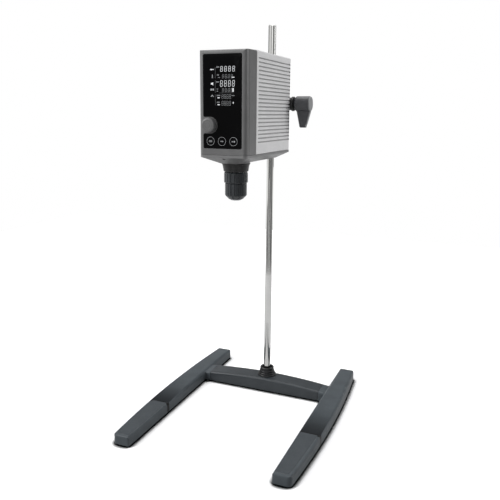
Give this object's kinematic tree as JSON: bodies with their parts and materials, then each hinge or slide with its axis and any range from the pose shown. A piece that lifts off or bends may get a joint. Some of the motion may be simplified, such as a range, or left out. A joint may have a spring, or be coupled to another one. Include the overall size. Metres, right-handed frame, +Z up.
{
  "type": "overhead stirrer",
  "caption": "Laboratory overhead stirrer: slim ribbed motor head with front display, knob and keyless chuck, clamped to a rod on an H-shaped stand.",
  "frame": {"origin": "centre of the H stand's footprint, on the bench", "axes": "+Z up along the rod, -Y towards the front with the display, X across the two legs"},
  "size_m": [0.395, 0.488, 0.827],
  "materials": {
    "cast": "satin",
    "pad": "matte",
    "foot": "matte",
    "steel": "satin",
    "chrome": "polished",
    "aluminium": "satin",
    "grey_plastic": "matte",
    "knob_grey": "matte",
    "black_plastic": "matte",
    "handle_black": "matte",
    "black_metal": "satin",
    "window": "gloss",
    "board": "matte",
    "brass": "satin",
    "belt": "matte"
  },
  "bodies": {
    "stand": {"leg_left": "cast", "leg_right": "cast", "leg_pads": "pad", "crossbar": "cast", "stand_feet": "foot", "leg_screws": "steel", "stand_rod": "chrome", "rod_collar": "black_plastic", "rod_bolt": "steel"},
    "clamp_bush": {"clamp_bush": "black_plastic"},
    "head": {"head_shell": "aluminium", "front_bezel": "grey_plastic", "bottom_cover": "grey_plastic", "rear_cover": "black_plastic", "display_window": "window", "lcd_module": "window", "display_board": "board", "touch_sensors": "brass", "encoder_body": "steel", "chassis": "aluminium", "chassis_screws": "steel", "bearing_housing": "aluminium", "bearing_outer_rings": "steel", "motor_can": "black_metal", "motor_stator": "brass", "motor_screws": "steel", "drive_belt": "belt", "power_board": "board", "board_standoffs": "brass", "mains_inlet": "black_plastic", "inlet_pins": "brass", "switch_frame": "black_plastic", "rear_screws": "steel", "clamp_block": "black_metal", "clamp_bolts": "steel", "clamp_collar": "black_metal", "chuck_guard": "black_plastic"},
    "clamp_pad": {"clamp_pad": "brass"},
    "clamp_handle": {"clamp_screw": "steel", "clamp_handle": "handle_black", "handle_cap": "knob_grey"},
    "speed_knob": {"encoder_shaft": "steel", "speed_knob": "knob_grey"},
    "rotor": {"motor_shaft": "chrome", "motor_rotor": "steel", "drive_pulley": "aluminium"},
    "spindle": {"spindle": "chrome", "bearing_inner_rings": "steel", "driven_pulley": "aluminium", "spindle_nut": "steel", "chuck_core": "steel", "chuck_rear_sleeve": "black_plastic"},
    "chuck_sleeve": {"chuck_front_sleeve": "black_plastic", "chuck_nut": "brass"},
    "jaw_1": {"jaw_1": "chrome"},
    "jaw_2": {"jaw_2": "chrome"},
    "jaw_3": {"jaw_3": "chrome"},
    "rocker": {"power_rocker": "black_plastic"},
    "fuse_drawer": {"fuse_drawer": "black_plastic"}
  },
  "joints": [
    {"name": "height_slide", "type": "slide", "parent": "stand", "child": "clamp_bush", "axis": [0, 0, 1], "range_m": [-0.4, 0.12]},
    {"name": "head_swivel", "type": "hinge", "parent": "clamp_bush", "child": "head", "pos_m": [0, 0.124, 0.6645], "axis": [0, 0, 1], "continuous": true},
    {"name": "clamp_screw_travel", "type": "slide", "parent": "head", "child": "clamp_pad", "axis": [1, 0, 0], "range_m": [-0.00001, 0.00151]},
    {"name": "clamp_handle_turn", "type": "hinge", "parent": "clamp_pad", "child": "clamp_handle", "pos_m": [0.07, 0.124, 0.6645], "axis": [1, 0, 0], "range_deg": [0, 360]},
    {"name": "speed_knob_turn", "type": "hinge", "parent": "head", "child": "speed_knob", "pos_m": [-0.025, -0.134, 0.622], "axis": [0, -1, 0], "continuous": true},
    {"name": "spindle_turn", "type": "hinge", "parent": "head", "child": "spindle", "pos_m": [0, -0.065, 0.6], "axis": [0, 0, 1], "continuous": true},
    {"name": "rotor_turn", "type": "hinge", "parent": "head", "child": "rotor", "pos_m": [0, 0.023, 0.62], "axis": [0, 0, 1], "continuous": true},
    {"name": "chuck_sleeve_turn", "type": "hinge", "parent": "spindle", "child": "chuck_sleeve", "pos_m": [0, -0.065, 0.495], "axis": [0, 0, 1], "range_deg": [-270, 780]},
    {"name": "jaw_1_slide", "type": "slide", "parent": "spindle", "child": "jaw_1", "axis": [-0.1801, -0.104, -0.9781], "range_m": [-0.0047, 0.0135]},
    {"name": "jaw_2_slide", "type": "slide", "parent": "spindle", "child": "jaw_2", "axis": [0.1801, -0.104, -0.9781], "range_m": [-0.0047, 0.0135]},
    {"name": "jaw_3_slide", "type": "slide", "parent": "spindle", "child": "jaw_3", "axis": [0, 0.2079, -0.9781], "range_m": [-0.0047, 0.0135]},
    {"name": "power_rocker_tilt", "type": "hinge", "parent": "head", "child": "rocker", "pos_m": [0.03, 0.113, 0.5915], "axis": [-1, 0, 0], "range_deg": [0, 14]},
    {"name": "fuse_drawer_slide", "type": "slide", "parent": "head", "child": "fuse_drawer", "axis": [0, 1, 0], "range_m": [0, 0.014]}
  ],
  "couplings": [
    {"joint": "clamp_screw_travel", "follows": "clamp_handle_turn", "m_per_rad": 0.00023873},
    {"joint": "rotor_turn", "follows": "spindle_turn", "ratio": 1.5},
    {"joint": "jaw_1_slide", "follows": "chuck_sleeve_turn", "m_per_rad": 0.00098676},
    {"joint": "jaw_2_slide", "follows": "chuck_sleeve_turn", "m_per_rad": 0.00098676},
    {"joint": "jaw_3_slide", "follows": "chuck_sleeve_turn", "m_per_rad": 0.00098676}
  ]
}
